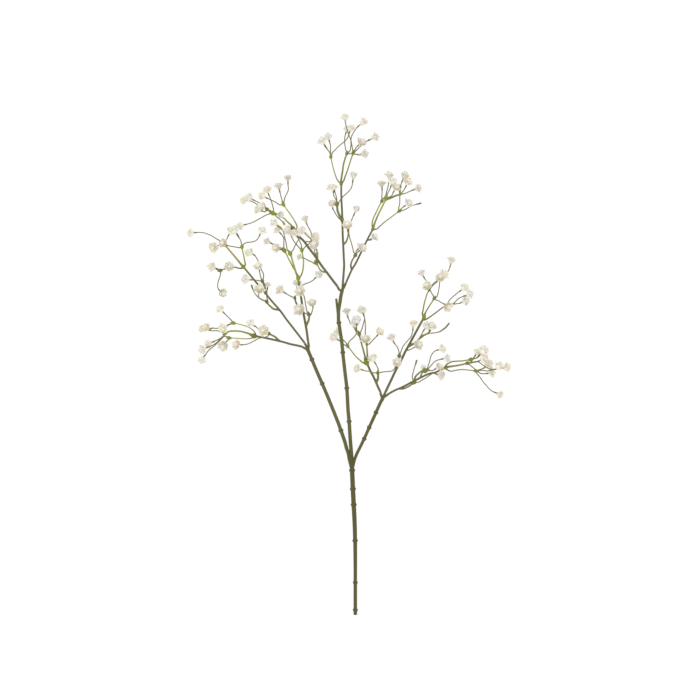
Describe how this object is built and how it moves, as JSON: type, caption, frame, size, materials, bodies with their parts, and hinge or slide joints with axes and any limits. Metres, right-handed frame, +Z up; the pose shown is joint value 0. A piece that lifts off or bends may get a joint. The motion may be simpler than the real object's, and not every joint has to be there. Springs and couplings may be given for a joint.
{
  "type": "artificial gypsophila stem",
  "caption": "Branched artificial gypsophila stem lying flat, with thin twigs and many small flared cream blooms.",
  "frame": {"origin": "on the surface that the stem lies on, under the middle of its outline", "axes": "+Y runs up the stem from its cut end towards the tip, +X to its right seen from above, +Z up from the surface"},
  "size_m": [0.4226, 0.6548, 0.0664],
  "materials": {
    "stem_plastic": "dull olive green moulded plastic, slightly glossy on the knots",
    "petal_plastic": "matt cream white moulded plastic"
  },
  "bodies": {
    "root": {"main_stem": "stem_plastic", "spray_left_low": "petal_plastic", "spray_left_mid": "petal_plastic", "spray_left_high": "petal_plastic", "spray_middle_left": "petal_plastic", "spray_middle_top": "petal_plastic", "spray_middle_right": "petal_plastic", "spray_right_inner": "petal_plastic", "spray_right_high": "petal_plastic", "spray_right_low": "petal_plastic"}
  },
  "joints": []
}
